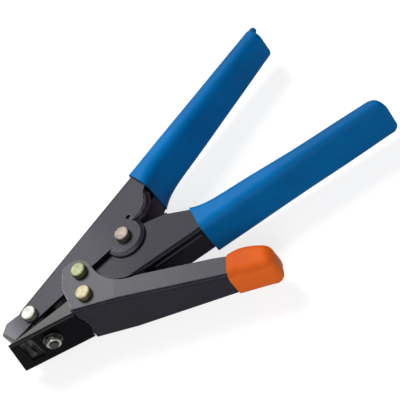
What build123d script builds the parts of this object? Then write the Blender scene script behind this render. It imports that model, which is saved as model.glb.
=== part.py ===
from build123d import *
from math import cos, radians, sin
import os

# Cable tie tensioning tool: two dipped handles pull the tie and a third lever cuts its tail.
# The tool lies flat. The pivots stand along Z, the nose points to -X and the fixed handle is
# on the +Y side. Everything is drawn about the main pivot, with Z = 0 in the middle plane,
# and is set on the floor at the end.

# Sheet steel and the widths of the channels that nest in each other
sheet = 1.6
frame_half = 10.4
side_play = 0.15
washer_thickness = 0.5
running_play = 0.05

# Rivets
main_shaft = 3.0
small_shaft = 2.5
rivet_head = 3.6
rivet_rise = 2.7
head_round = 0.6

# Pivots, from the main pivot at 0, 0
hub_radius = 20.4
lever_bush_wall = 0.9
hub_gap = 0.96
lever_pivot_angle = 183.94
link_reach = 12.7
link_angle = 252.0
nose_reach = (-28.9, 0.7)

# Main frame
frame_slope = 15.4
frame_back = 20.3
tang_bend = 2.0
nose_length = 15.4
shoulder_length = 11.0
nose_top = 3.6
nose_round = 1.2
pivot_lobe = 7.2
grip_start = 18.5
grip_mouth = (18.6, 13.4)
tang_end = 101.0
tang_depth = 6.9
tang_tip_depth = 6.4
tang_end_half = 6.6
tang_step = 9.0
bend_radius = 1.6
nib_length = 2.5
nib_radius = 1.7
nib_offset = -0.7
nib_height = 5.8

# Moving handle
hub_crown = 8.8
handle_slope = -7.1
lower_grip_start = 28.5
handle_end = 119.5
handle_depth = 8.4
handle_tip_depth = 4.2
handle_mouth_depth = 13.6
handle_waist = (19.5, -3.5)
rib_length = 26.0
rib_width = 3.2
rib_rise = 0.8
rib_height = 3.4
rib_gap = 0.6
rib_root = 0.2

# Dipped grips
grip_wall = 1.9
lower_wall = 2.5
grip_round = 4.9
upper_widths = ((0.0, 14.4), (0.1, 11.2), (0.28, 10.5), (0.46, 10.4), (0.64, 10.1), (0.82, 9.8), (1.0, 9.6))
lower_widths = ((0.0, 16.9), (0.1, 13.7), (0.28, 12.5), (0.46, 11.2), (0.64, 9.9), (0.82, 9.1), (1.0, 8.6))
upper_end_round = 1.8
lower_end_round = 3.0
grip_overhang = 3.0

# Cutting lever
lever_slope = -30.4
lever_back = 19.8
lever_front = 12.8
taper_start = 4.7
lever_waist_half = 7.3
lever_end_half = 6.6
lever_length = 91.0
lever_neck = 10.4
lever_tip_depth = 8.8
heel_radius = 12.0
heel_bulge = 1.5
heel_play = 0.45
cap_length = 20.6
cap_wall = 1.5
cap_widths = ((0.0, 13.2), (0.25, 15.2), (0.6, 16.0), (1.0, 11.6))
cap_end_round = 4.6

# Cutter arm and what it drives
arm_slope = -16.6
arm_overhang = 0.4
arm_toe = 3.2
arm_web_drop = 8.0
arm_lobe = 5.4
arm_play = 0.9
window_front = 3.2
window_length = 6.4
window_low = -5.8
window_high = 9.0
blade_radius = 10.5
blade_half = 5.5
blade_rest_angle = 182.0
ear_reach = 5.6
ear_angle = 235.0
ear_tip = 1.3
ear_inner = 3.6
ear_thickness = 1.8
drive_play = 0.25
stud_reach = 1.0
stud_rise = 2.2
stud_radius = 2.0
nut_flats = 7.6
nut_height = 2.8
crown_height = 1.2
crown_radius = 3.15
washer_radius = 4.4
washer_height = 0.6

# Tie puller inside the frame
bar_top = -7.0
bar_height = 2.8
bar_half = 2.5
bar_reach = 9.3
bed_length = 12.6
pin_reach = 13.0
pin_angle = 250.0
pin_radius = 2.0
lug_half = 4.4
pawl_reach = 3.3
pawl_height = 1.2
pawl_pin_radius = 1.5
pawl_half = 3.4
pawl_boss = 2.8

# Springs and bushes
bush_wall = 1.5
spring_wire = 0.6
small_wire = 0.4
spring_hole = (6.6, 7.0)
spring_hole_radius = 1.15
tie_slot_half = 5.8
tie_slot_top = -1.5


def polar(centre, radius, angle):
    return (centre[0] + radius * cos(radians(angle)), centre[1] + radius * sin(radians(angle)))


# Widths and places that follow
frame_inner = frame_half - sheet
hub_half = frame_inner - washer_thickness - 2 * running_play
hub_inner = hub_half - sheet
lever_inner = frame_half + side_play
lever_half = lever_inner + sheet
arm_half = frame_half
arm_inner = arm_half - sheet
lever_bush_radius = small_shaft + lever_bush_wall
lever_pivot = polar((0, 0), hub_radius + hub_gap + lever_bush_radius, lever_pivot_angle)
link_pivot = polar(lever_pivot, link_reach, link_angle)
nose_pivot = (lever_pivot[0] + nose_reach[0], lever_pivot[1] + nose_reach[1])
nose_x = nose_pivot[0] - nose_length
shoulder_x = nose_x + shoulder_length
arm_nose_x = nose_x - arm_overhang
arm_toe_x = arm_nose_x - arm_toe
stud_x = nose_pivot[0] + stud_reach
bar_front = nose_pivot[0] + bar_reach
pawl_pivot = (bar_front + pawl_reach, pawl_height)
lever_left = lever_pivot[0] - lever_front
arm_web_end = lever_left - heel_play
drive_pin_at = polar((0, 0), pin_reach, pin_angle)


def line_y(x, slope, foot, offset=0.0):
    """Height at x of a sloping line through the point foot, moved off square by offset."""
    return foot[1] + (x - foot[0]) * sin(radians(slope)) / cos(radians(slope)) + offset / cos(radians(slope))


def slab(outline, half, lower=None):
    """A flat outline made solid from -half to half, or from lower to half."""
    low = -half if lower is None else lower
    return extrude(Pos(0, 0, low) * outline, amount=half - low)


def polygon(*points):
    return make_face(Polyline(*points, close=True))


def disc(centre, radius):
    return Pos(centre[0], centre[1]) * Circle(radius)


def drilled(shape, centre, radius):
    return shape - slab(disc(centre, radius), 2 * lever_half)


def half_at(stations, x):
    """Half width of a tapering channel at x."""
    for (x0, half0), (x1, half1) in zip(stations, stations[1:]):
        if x <= x1:
            return half0 + (half1 - half0) * (x - x0) / (x1 - x0)
    return stations[-1][1]


def envelope(line, slope, stations, inward, radius=0.0, inset=0.0):
    """The room of a folded channel: as wide as its stations, with rounded folds along its web line."""
    across = Vector(-sin(radians(slope)), cos(radians(slope)), 0) * inward
    along = Vector(cos(radians(slope)), sin(radians(slope)), 0)
    sections = []
    for x, half in stations:
        h, far = half - inset, frame_back + 2 * hub_radius
        if radius:
            fold = [Line((far, -h), (radius, -h)),
                    RadiusArc((radius, -h), (0, radius - h), radius, short_sagitta=True),
                    Line((0, radius - h), (0, h - radius)),
                    RadiusArc((0, h - radius), (radius, h), radius, short_sagitta=True),
                    Line((radius, h), (far, h)), Line((far, h), (far, -h))]
            face = make_face(fold)
        else:
            face = polygon((far, -h), (0, -h), (0, h), (far, h))
        place = Plane(origin=Vector(*line(x)) + across * inset, x_dir=across, z_dir=along)
        sections.append(place * face)
    return loft(sections, ruled=True)


def filled_channel(outline, line, slope, stations, inward):
    """The outside of a folded sheet channel: its side outline within the room of its folds."""
    return slab(outline, 2 * stations[0][1]) & envelope(line, slope, stations, inward, bend_radius)


def channel_hollow(line, slope, stations, inward):
    return envelope(line, slope, stations, inward, inset=sheet)


def tube(centre, outer, inner, half, lower=None):
    return slab(disc(centre, outer) - disc(centre, inner), half, lower)


def standing(radius, height):
    """A cylinder that stands on its foot."""
    return Cylinder(radius, height, align=(Align.CENTER, Align.CENTER, Align.MIN))


def rivet(centre, shaft, seat):
    """A rivet through the middle plane, with a round-edged head on each side."""
    head = Pos(centre[0], centre[1], seat) * standing(rivet_head, rivet_rise)
    head = fillet(head.faces().sort_by(Axis.Z)[-1].edges(), head_round)
    return slab(disc(centre, shaft), seat) + head + mirror(head, Plane.XY)


def rod(start, end, radius):
    """A straight piece of wire with round ends."""
    run = Vector(*end) - Vector(*start)
    body = Plane(origin=start, z_dir=run) * standing(radius, run.length)
    return body + Pos(*start) * Sphere(radius) + Pos(*end) * Sphere(radius)


def coil(centre, radius, turns, low, wire):
    """A close-wound torsion spring around a pivot, from angle zero at its foot."""
    pitch = 2.2 * wire
    path = Pos(centre[0], centre[1], low) * Helix(pitch, pitch * turns, radius)
    section = Plane(origin=path @ 0, z_dir=path % 0) * Circle(wire)
    return sweep(section, path=path), path @ 1


# Main frame

frame_foot = polar((0, 0), frame_back, frame_slope + 90)


def frame_line(x, offset=0.0):
    """The frame's back, which bends a little outwards where the grip starts."""
    bent = max(x - grip_start, 0) * (sin(radians(tang_bend)) / cos(radians(frame_slope)) ** 2)
    return (x, line_y(x, frame_slope, frame_foot, offset) + bent)


def frame_stations():
    return [(nose_x - 5, frame_half), (grip_start, frame_half), (tang_end + 5, tang_end_half)]


def tang_edge(line, start, end, depth, tip_depth):
    """The open edge of a handle inside its grip, from the grip's mouth to its tip."""
    return [line(start + tang_step, depth), line(end, tip_depth), line(end)]


def make_main_frame():
    low_edge = [(nose_x + 2.7, -7.0), (-56.0, -5.5), (-36.0, -4.2), (-19.0, -2.0), (-pivot_lobe, -1.3)]
    rise = [(9.0, 4.5), (12.0, 5.0), (16.0, 7.8), grip_mouth]
    outline = polygon(
        (nose_x - 0.2, 1.0), *low_edge, (0, 1.0), *rise,
        *tang_edge(frame_line, grip_start, tang_end, -tang_depth, -tang_tip_depth),
        frame_line(grip_start), frame_line(shoulder_x + 4.5), (shoulder_x, nose_top), (nose_x + 3.2, nose_top + 0.5))
    outline += disc((0, 0), pivot_lobe)
    body = filled_channel(outline, frame_line, frame_slope, frame_stations(), -1)
    hollow = channel_hollow(frame_line, frame_slope, frame_stations(), -1)
    nose = polygon((nose_x - 0.2, 1.0), (nose_x + 2.7, -7.0), (shoulder_x, -5.6), (shoulder_x + 2, nose_top - sheet),
                   (shoulder_x, nose_top), (nose_x + 3.2, nose_top + 0.5))
    roof_y = nose_top - sheet
    under_roof = polygon((nose_x - 9, -9), (shoulder_x + 1, -9), (shoulder_x + 1, roof_y), (nose_x - 9, roof_y))
    roof = polygon((nose_x - 9, roof_y), (shoulder_x + 1, roof_y), frame_line(shoulder_x + 5, -sheet),
                   (shoulder_x, 30), (nose_x - 9, 30))
    body += slab(nose, frame_half)
    body -= (hollow - slab(roof, frame_half)) + slab(under_roof, frame_inner)
    front = [e for e in body.edges() if e.center().X < nose_x + 2 and abs(e.center().Z) > frame_half - 0.01]
    body = fillet(front, nose_round)
    body = drilled(body, (0, 0), main_shaft)
    body = drilled(body, lever_pivot, small_shaft)
    body = drilled(body, nose_pivot, small_shaft)
    return body - Pos(*spring_hole, frame_inner + sheet / 2) * Cylinder(spring_hole_radius, 2 * sheet)


# Moving handle

handle_foot = polar((0, 0), hub_radius, handle_slope - 90)


def handle_line(x, offset=0.0):
    return (x, line_y(x, handle_slope, handle_foot, offset))


def handle_stations():
    return [(-hub_radius - 9, hub_half), (handle_end + 5, hub_half)]


def make_moving_handle():
    hub = Circle(hub_radius) & polygon((-30, 2.0), (-3, 2.0), (10, -30), (-30, -30))
    crown = Circle(hub_crown)
    arm = polygon(
        (0, 0), (10.0, 0), handle_waist, handle_line(lower_grip_start, handle_mouth_depth),
        *tang_edge(handle_line, lower_grip_start, handle_end, handle_depth, handle_tip_depth), handle_foot)
    outline = hub + crown + arm
    body = filled_channel(outline, handle_line, handle_slope, handle_stations(), 1)
    body -= channel_hollow(handle_line, handle_slope, handle_stations(), 1)
    open_hub = slab(polygon((-30, 30), (-30, -30), (handle_foot[0], -30), (handle_foot[0], 0)), hub_inner)
    body = body - open_hub + handle_rib()
    return drilled(body, (0, 0), main_shaft + running_play)


def handle_rib():
    """A long bead pressed outwards along the handle's web, with round ends."""
    end = handle_line(lower_grip_start - rib_gap)
    place = Plane(origin=(*end, rib_height), x_dir=(cos(radians(handle_slope)), sin(radians(handle_slope)), 0),
                  z_dir=(sin(radians(handle_slope)), -cos(radians(handle_slope)), 0))
    outline = Pos(-rib_length / 2, 0) * SlotOverall(rib_length, rib_width)
    bead = extrude(outline, amount=rib_rise)
    bead = chamfer(bead.faces().sort_by(Axis.Z)[-1].edges(), 0.6 * rib_rise)
    return place * Pos(0, 0, -rib_root) * bead


# Dipped grips

def sleeve(line, slope, outward, stations, start, end, widths, wall, end_round):
    """A rounded sleeve around a tapering handle: its widths are given at shares of its length."""
    across = Vector(-sin(radians(slope)), cos(radians(slope)), 0) * outward
    along = Vector(cos(radians(slope)), sin(radians(slope)), 0)
    sections = []
    for share, width in widths:
        x = start + share * (end - start)
        depth = 2 * (half_at(stations, x) + wall)
        centre = Vector(*line(x)) + across * (wall - width / 2)
        section = RectangleRounded(width, depth, min(grip_round, 0.44 * width))
        sections.append(Plane(origin=centre, x_dir=across, z_dir=along) * section)
    body = loft(sections)
    return fillet(body.faces().sort_by(Axis.X)[-1].edges(), end_round)


def make_upper_grip():
    """The fixed handle's grip, with the nib that the dip leaves where its last drop hung."""
    stations = frame_stations()
    outline = polygon(
        frame_line(10), (10.0, 5.0), grip_mouth,
        *tang_edge(frame_line, grip_start, tang_end, -tang_depth, -tang_tip_depth), frame_line(grip_start))
    end = tang_end + grip_overhang
    body = sleeve(frame_line, frame_slope, 1, stations, grip_start, end, upper_widths, grip_wall, upper_end_round)
    body -= filled_channel(outline, frame_line, frame_slope, stations, -1)
    return body + rod((*frame_line(end - nib_radius / 2, nib_offset), nib_height),
                      (*frame_line(end + nib_length - nib_radius, nib_offset), nib_height), nib_radius)


def make_lower_grip():
    stations = handle_stations()
    outline = polygon(
        handle_line(20), handle_waist, handle_line(lower_grip_start, handle_mouth_depth),
        *tang_edge(handle_line, lower_grip_start, handle_end, handle_depth, handle_tip_depth))
    body = sleeve(handle_line, handle_slope, -1, stations, lower_grip_start, handle_end + grip_overhang,
                  lower_widths, lower_wall, lower_end_round)
    return body - filled_channel(outline, handle_line, handle_slope, stations, 1)


# Cutting lever

lever_foot = polar(lever_pivot, lever_back, lever_slope - 90)
lever_end = lever_left + lever_length * cos(radians(lever_slope))
cap_start = lever_end - (cap_length - cap_wall) * cos(radians(lever_slope))


def lever_line(x, offset=0.0):
    return (x, line_y(x, lever_slope, lever_foot, offset))


def lever_stations():
    return [(lever_left - 5, lever_half), (lever_pivot[0] + taper_start, lever_half), (cap_start, lever_waist_half),
            (lever_end + 5, lever_end_half)]


def lever_outline():
    corner = lever_line(lever_left)
    shoulder, crown_end, scoop_start, scoop_end = (lever_left + 2.6, 1.5), (-19.6, -0.6), (-19.2, -6.5), (-5.7, -23.6)
    crown = ThreePointArc(shoulder, (-28.0, 6.4), crown_end)
    scoop = ThreePointArc(scoop_start, (-14.4, -18.0), scoop_end)
    rest = Polyline(scoop_end, lever_line(cap_start, lever_neck), lever_line(lever_end, lever_tip_depth),
                    lever_line(lever_end), corner, shoulder)
    return make_face([crown, Line(crown_end, scoop_start), scoop, rest])


def heel(radius):
    """The round heel of the arm's web, or with a larger radius the lever's scallop around it."""
    centre = lever_left + heel_bulge - heel_radius
    return Pos(centre, lever_line(lever_left)[1]) * Rot(90, 0, 0) * Cylinder(radius, 4 * radius)


def make_cutting_lever():
    body = filled_channel(lever_outline(), lever_line, lever_slope, lever_stations(), 1)
    body -= channel_hollow(lever_line, lever_slope, lever_stations(), 1)
    body -= heel(heel_radius) & slab(Rectangle(4 * lever_length, 4 * lever_length), arm_half + side_play)
    body = drilled(body, lever_pivot, small_shaft + running_play)
    return drilled(body, link_pivot, small_shaft)


def make_lever_grip():
    stations = lever_stations()
    body = sleeve(lever_line, lever_slope, -1, stations, cap_start, lever_end + cap_wall, cap_widths, cap_wall,
                  cap_end_round)
    return body - filled_channel(lever_outline(), lever_line, lever_slope, stations, 1)


# Cutter arm

arm_foot = (arm_nose_x, -arm_web_drop)


def arm_line(x, offset=0.0):
    return (x, line_y(x, arm_slope, arm_foot, offset))


def make_cutter_arm():
    outline = polygon(
        (arm_toe_x, -6.0), (-66.0, -7.3), (-38.7, -8.8), (link_pivot[0] - 2, link_pivot[1] + arm_lobe),
        link_pivot, lever_line(link_pivot[0], sheet + arm_play), lever_line(arm_web_end, sheet + arm_play),
        arm_line(arm_web_end), arm_line(arm_toe_x))
    outline += disc(link_pivot, arm_lobe)
    stations = [(arm_toe_x - 5, arm_half), (0, arm_half)]
    body = filled_channel(outline, arm_line, arm_slope, stations, 1) - channel_hollow(arm_line, arm_slope, stations, 1)
    past_web = slab(polygon((arm_web_end, 20), (arm_web_end, -60), (0, -60), (0, 20)), arm_inner)
    tongue = slab(polygon(arm_line(arm_web_end - 1), arm_line(0), arm_line(0, sheet),
                          arm_line(arm_web_end - 1, sheet)), arm_inner) & heel(heel_radius - heel_play)
    body = body - past_web + tongue - arm_front_cut()
    middle = arm_nose_x + window_front + window_length / 2
    window = Box(window_length, 12, window_high - window_low)
    body -= Pos(middle, -arm_web_drop - 1, (window_high + window_low) / 2) * window
    body = drilled(body, link_pivot, small_shaft + running_play)
    return body - stud_place() * Cylinder(stud_radius, 20)


def arm_front_cut():
    """What the arm's front end loses: it slants from its upper cheek down to its toe."""
    clear = arm_toe_x - 9
    corner = Plane.XZ * polygon((clear, -arm_half), (arm_toe_x, -arm_half), (arm_nose_x, arm_half),
                                (arm_nose_x, 2 * arm_half), (clear, 2 * arm_half))
    return extrude(corner, amount=60, both=True)


def stud_place():
    """On the arm's web under the nose pivot, with Z along the stud and out of the tool."""
    x, y = arm_line(stud_x)
    return Location(Plane(origin=(x, y, stud_rise), x_dir=(cos(radians(arm_slope)), sin(radians(arm_slope)), 0),
                          z_dir=(sin(radians(arm_slope)), -cos(radians(arm_slope)), 0)))


def on_stud(shape, low):
    return stud_place() * Pos(0, 0, low) * shape


def make_blade_stud():
    inner = 3.4
    length = inner + washer_height + nut_height + crown_height * 0.5
    return on_stud(standing(stud_radius, length), -inner)


def make_stud_washer():
    ring = Circle(washer_radius) - Circle(stud_radius)
    return on_stud(extrude(ring, amount=washer_height), 0)


def make_lock_nut():
    hexagon = RegularPolygon(nut_flats / 2, 6, major_radius=False)
    body = extrude(hexagon, amount=nut_height)
    crown = Pos(0, 0, nut_height) * extrude(Circle(crown_radius), amount=crown_height)
    crown = fillet(crown.faces().sort_by(Axis.Z)[-1].edges(), 0.4)
    mouth = Pos(0, 0, nut_height) * Cylinder(stud_radius + 0.3, 2 * crown_height)
    return on_stud(body + crown - mouth - Cylinder(stud_radius, 20), washer_height)


def make_blade_yoke():
    """A block on the stud whose two notched walls hold the blade's ears."""
    ear = polar(nose_pivot, ear_reach, ear_angle)
    front, rear, top = ear[0] - ear_tip - drive_play - 1.9, stud_x + 4.0, ear[1] - 0.1
    outline = polygon(arm_line(front, sheet), arm_line(rear, sheet), (rear, top - 1.5), (rear - 2.0, top),
                      (front, top))
    notch = ear_tip + drive_play
    groove = disc((ear[0], ear[1] - 0.7), notch) + polygon(
        (ear[0] - notch, ear[1] - 0.7), (ear[0] + notch, ear[1] - 0.7), (ear[0] + notch, 0), (ear[0] - notch, 0))
    wall_half = ear_inner + ear_thickness + 0.4
    body = slab(outline, wall_half) - slab(groove, wall_half)
    tie_way = Pos((front + rear) / 2, top, 0) * Box(30, 5.6, 2 * (ear_inner - 0.3))
    return body - tie_way - stud_place() * Cylinder(stud_radius, 6.8)


def make_cutter_blade():
    """A curved blade about the nose pivot, with a boss and two driven ears."""
    sweep_angle = 15.0
    rim = [polar(nose_pivot, 2 * blade_radius, blade_rest_angle - a) for a in (0, sweep_angle / 2, sweep_angle)]
    sector = disc(nose_pivot, blade_radius) & polygon(nose_pivot, *rim)
    boss = disc(nose_pivot, small_shaft + 1.4)
    tip = polar(nose_pivot, ear_reach, ear_angle)
    half_ear = ear_tip * 0.9
    side = polar((0, 0), half_ear, ear_angle + 90)
    ear = disc(tip, ear_tip) + polygon(
        (nose_pivot[0] + side[0], nose_pivot[1] + side[1]), (tip[0] + side[0], tip[1] + side[1]),
        (tip[0] - side[0], tip[1] - side[1]), (nose_pivot[0] - side[0], nose_pivot[1] - side[1]))
    ears = slab(ear, ear_inner + ear_thickness, ear_inner)
    body = slab(sector + boss, blade_half) + ears + mirror(ears, Plane.XY)
    return drilled(body, nose_pivot, small_shaft + running_play)


def make_blade_spacers():
    """Tubes on the nose rivet that keep the blade in the middle of the nose."""
    near = blade_half + side_play
    return [tube(nose_pivot, small_shaft + 1.4, small_shaft, frame_inner, near),
            tube(nose_pivot, small_shaft + 1.4, small_shaft, -near, -frame_inner)]


def make_nose_guide():
    """The steel insert that the tie goes in through, hollowed to the blade's sweep."""
    low, top = -5.9, nose_top - sheet
    rear = nose_pivot[0] - 6.9
    block = slab(polygon((nose_x + 2.0, low), (rear, low + 0.4), (rear, top), (nose_x + 2.6, top),
                         (nose_x - 0.4, 0.9)), frame_inner)
    block -= slab(disc(nose_pivot, blade_radius + 2 * side_play), frame_inner)
    slot = Pos(nose_x, tie_slot_top - 5, 0) * Box(30, 10, 2 * tie_slot_half)
    return block - slot


# Tie puller

def make_pull_bar():
    bottom = bar_top - bar_height
    slot_low, slot_high = -pin_reach - 0.5, drive_pin_at[1] + 0.6
    bar = polygon((bar_front, bar_top), (drive_pin_at[0] + lug_half, bar_top),
                  (drive_pin_at[0] + lug_half, slot_low - 2.9), (drive_pin_at[0] - lug_half, slot_low - 2.9),
                  (drive_pin_at[0] - lug_half, bottom), (bar_front, bottom))
    body = slab(bar, bar_half)
    bed = polygon((bar_front, bar_top), (bar_front + bed_length, bar_top),
                  (bar_front + bed_length, bottom), (bar_front, bottom))
    ear = disc(pawl_pivot, pawl_boss) + polygon(
        (pawl_pivot[0] - 3.2, bottom), (pawl_pivot[0] + 3.2, bottom),
        (pawl_pivot[0] + 2.6, pawl_pivot[1] + 1), (pawl_pivot[0] - 2.6, pawl_pivot[1] + 1))
    ear_low = pawl_half + side_play
    ears = slab(ear, ear_low + sheet, ear_low)
    body += slab(bed, ear_low + sheet) + ears + mirror(ears, Plane.XY)
    groove = pin_radius + drive_play
    hole = disc((drive_pin_at[0], slot_low), groove) + disc((drive_pin_at[0], slot_high), groove)
    hole += Pos(drive_pin_at[0], (slot_low + slot_high) / 2) * Rectangle(2 * groove, slot_high - slot_low)
    body -= slab(hole, bar_half)
    return drilled(body, pawl_pivot, pawl_pin_radius)


def make_drive_pin():
    return slab(disc(drive_pin_at, pin_radius), hub_inner)


def make_grip_pawl():
    """A toothed pawl that leans on the tie and bites it as the bar goes back."""
    x, y = pawl_pivot[0] + 4.2, bar_top + 0.3
    body = polygon((pawl_pivot[0] + pawl_boss, pawl_pivot[1]), (x + 1.2, y + 2.2), (x, y), (x - 1.0, y + 0.7),
                   (x - 1.4, y), (x - 2.4, y + 0.8), (x - 2.8, y + 0.1), (x - 4.2, y + 1.6),
                   (pawl_pivot[0] - pawl_boss, pawl_pivot[1]))
    body += disc(pawl_pivot, pawl_boss)
    return drilled(slab(body, pawl_half), pawl_pivot, pawl_pin_radius + running_play)


def pawl_ear_top():
    return pawl_half + side_play + sheet


def make_grip_pawl_pin():
    return slab(disc(pawl_pivot, pawl_pin_radius), pawl_ear_top() + 2.4)


def make_grip_pawl_spring():
    """A small torsion spring on the pin's end, outside the bar's ear."""
    radius = pawl_pin_radius + small_wire + 0.1
    low = pawl_ear_top() + small_wire + 0.1
    winding, top = coil(pawl_pivot, radius, 2, low, small_wire)
    return winding + rod(tuple(top), (top.X, top.Y - 6.0, top.Z), small_wire)


# Pivots, bushes and springs

def make_pivot_bush():
    return tube((0, 0), main_shaft + bush_wall, main_shaft, hub_inner - running_play)


def make_hub_washers():
    near = hub_half + running_play
    far = near + washer_thickness
    return [tube((0, 0), hub_crown, main_shaft, far, near), tube((0, 0), hub_crown, main_shaft, -near, -far)]


def make_lever_bush():
    return tube(lever_pivot, lever_bush_radius, small_shaft, frame_inner)


def make_handle_spring():
    """Around the main bush, with one leg up through the frame's small hole."""
    radius = main_shaft + bush_wall + spring_wire + 0.3
    winding, top = coil((0, 0), radius, 4, -3.2, spring_wire)
    elbow = (*spring_hole, top.Z)
    leg = rod(elbow, (*spring_hole, frame_half - sheet / 2 - spring_wire), spring_wire)
    return winding + rod(tuple(top), elbow, spring_wire) + leg


NODES = {
    "main_frame": make_main_frame,
    "upper_grip": make_upper_grip,
    "moving_handle": make_moving_handle,
    "lower_grip": make_lower_grip,
    "cutting_lever": make_cutting_lever,
    "lever_grip": make_lever_grip,
    "cutter_arm": make_cutter_arm,
    "pivot_rivet": lambda: rivet((0, 0), main_shaft, frame_half),
    "lever_rivet": lambda: rivet(lever_pivot, small_shaft, lever_half + running_play),
    "link_rivet": lambda: rivet(link_pivot, small_shaft, lever_half),
    "nose_rivet": lambda: rivet(nose_pivot, small_shaft, frame_half),
    "lock_nut": make_lock_nut,
    "stud_washer": make_stud_washer,
    "blade_stud": make_blade_stud,
    "blade_yoke": make_blade_yoke,
    "cutter_blade": make_cutter_blade,
    "blade_spacers": make_blade_spacers,
    "nose_guide": make_nose_guide,
    "pull_bar": make_pull_bar,
    "drive_pin": make_drive_pin,
    "grip_pawl": make_grip_pawl,
    "grip_pawl_pin": make_grip_pawl_pin,
    "grip_pawl_spring": make_grip_pawl_spring,
    "pivot_bush": make_pivot_bush,
    "hub_washers": make_hub_washers,
    "lever_bush": make_lever_bush,
    "handle_spring": make_handle_spring,
}

os.makedirs("parts", exist_ok=True)
pieces = {}
for name, make in NODES.items():
    made = make()
    pieces[name] = Compound(children=list(made)) if isinstance(made, list) else made

boxes = [piece.bounding_box() for piece in pieces.values()]
left, right = min(b.min.X for b in boxes), max(b.max.X for b in boxes)
near, far = min(b.min.Y for b in boxes), max(b.max.Y for b in boxes)
shift = Vector(-(left + right) / 2, -(near + far) / 2, -min(b.min.Z for b in boxes))
for name, piece in pieces.items():
    export_step(Location(shift) * piece, f"parts/{name}.step")

for label, point in (("main pivot", (0, 0)), ("lever pivot", lever_pivot), ("link pivot", link_pivot),
                     ("nose pivot", nose_pivot), ("pawl pivot", pawl_pivot), ("tie slot", (nose_x, tie_slot_top))):
    print(label, round(point[0] + shift.X, 4), round(point[1] + shift.Y, 4), round(shift.Z, 4))
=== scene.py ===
# %% [markdown]
# # Cable tie tensioning tool
# The tool is two blue-gripped handles and one orange-capped cutting lever, all pressed from sheet
# steel and painted black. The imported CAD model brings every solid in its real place, in metres, so
# this script only has to light it, dress it in finishes and add the fine pieces that a shop part
# has and a plain solid lacks. Everything here is measured from that frame.

import math

import bmesh
import bpy
from mathutils import Matrix, Vector


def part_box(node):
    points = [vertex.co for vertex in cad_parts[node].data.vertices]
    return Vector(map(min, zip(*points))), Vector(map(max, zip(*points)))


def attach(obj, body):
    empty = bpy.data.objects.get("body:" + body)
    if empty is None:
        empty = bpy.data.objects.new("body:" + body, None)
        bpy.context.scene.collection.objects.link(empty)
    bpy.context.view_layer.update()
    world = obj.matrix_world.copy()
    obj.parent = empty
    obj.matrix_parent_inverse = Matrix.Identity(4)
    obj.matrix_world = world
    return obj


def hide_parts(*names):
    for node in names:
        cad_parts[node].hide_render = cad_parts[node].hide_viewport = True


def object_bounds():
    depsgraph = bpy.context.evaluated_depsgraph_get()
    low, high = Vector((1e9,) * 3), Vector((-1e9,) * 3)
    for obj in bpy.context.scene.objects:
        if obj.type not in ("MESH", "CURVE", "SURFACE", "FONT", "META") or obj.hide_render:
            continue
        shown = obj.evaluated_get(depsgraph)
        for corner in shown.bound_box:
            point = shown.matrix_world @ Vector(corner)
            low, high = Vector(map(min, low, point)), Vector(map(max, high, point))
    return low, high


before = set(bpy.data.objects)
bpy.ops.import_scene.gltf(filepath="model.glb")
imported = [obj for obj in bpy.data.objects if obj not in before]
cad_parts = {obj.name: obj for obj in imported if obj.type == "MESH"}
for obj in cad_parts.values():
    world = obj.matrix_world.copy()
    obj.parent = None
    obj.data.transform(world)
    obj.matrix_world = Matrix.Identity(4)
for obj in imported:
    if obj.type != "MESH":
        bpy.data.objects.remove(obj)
CAD_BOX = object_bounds()
MM = 0.001
print("the tool measures", [round((high - low) / MM, 1) for low, high in zip(*CAD_BOX)], "mm")


# %% [markdown]
# ## The camera
# The photograph looks down on the tool at 47 degrees, with the camera rolled so that the nose is at
# the lower left. A long lens at 0.7 m keeps the perspective gentle. The camera could be aimed by
# hand, but one known point does it exactly: the head of the main pivot rivet has to land on its own
# pixel, and the three directions of the picture come from the elevation and the roll.

# %% Aim the camera by the main rivet
FRAME_PIXELS = 400
ELEVATION = math.radians(47)
ROLL = math.radians(39.7)
CAMERA_DISTANCE = 0.70
PIXELS_PER_MM = 2.28
RIVET_PIXEL = (120.6, 232.5)
NEAREST_SEEN = 0.01
FARTHEST_SEEN = 20


def head_centre(node):
    """The middle of the top face of a rivet."""
    low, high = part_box(node)
    return Vector(((low.x + high.x) / 2, (low.y + high.y) / 2, high.z))


def aimed_camera():
    """A camera on which the main rivet's head falls on RIVET_PIXEL."""
    level_up = Vector((0, math.sin(ELEVATION), math.cos(ELEVATION)))
    back = Vector((0, -math.cos(ELEVATION), math.sin(ELEVATION)))
    level_right = Vector((1, 0, 0))
    right = level_right * math.cos(ROLL) - level_up * math.sin(ROLL)
    up = level_right * math.sin(ROLL) + level_up * math.cos(ROLL)
    across = (RIVET_PIXEL[0] - FRAME_PIXELS / 2) * MM / PIXELS_PER_MM
    above = (FRAME_PIXELS / 2 - RIVET_PIXEL[1]) * MM / PIXELS_PER_MM
    place = head_centre("pivot_rivet") + back * CAMERA_DISTANCE - right * across - up * above
    data = bpy.data.cameras.new("camera")
    data.lens = data.sensor_width * PIXELS_PER_MM / MM * CAMERA_DISTANCE / FRAME_PIXELS
    data.clip_start, data.clip_end = NEAREST_SEEN, FARTHEST_SEEN
    camera = bpy.data.objects.new("camera", data)
    turn = Matrix((right, up, back)).transposed().to_4x4()
    camera.matrix_world = Matrix.Translation(place) @ turn
    bpy.context.scene.collection.objects.link(camera)
    bpy.context.scene.camera = camera
    return camera


camera = aimed_camera()
print("lens", round(camera.data.lens, 1), "mm at", [round(v, 3) for v in camera.location])


# %% [markdown]
# ## Shader maths in plain expressions
# A finish is a formula: a noise, a threshold, a mix. Writing every Math node by hand hides that
# formula, so a small class wraps a node's socket and lets Python's own operators add the nodes. Any
# other node comes from one function, for the finishes and for the Geometry Nodes further down.

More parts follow.
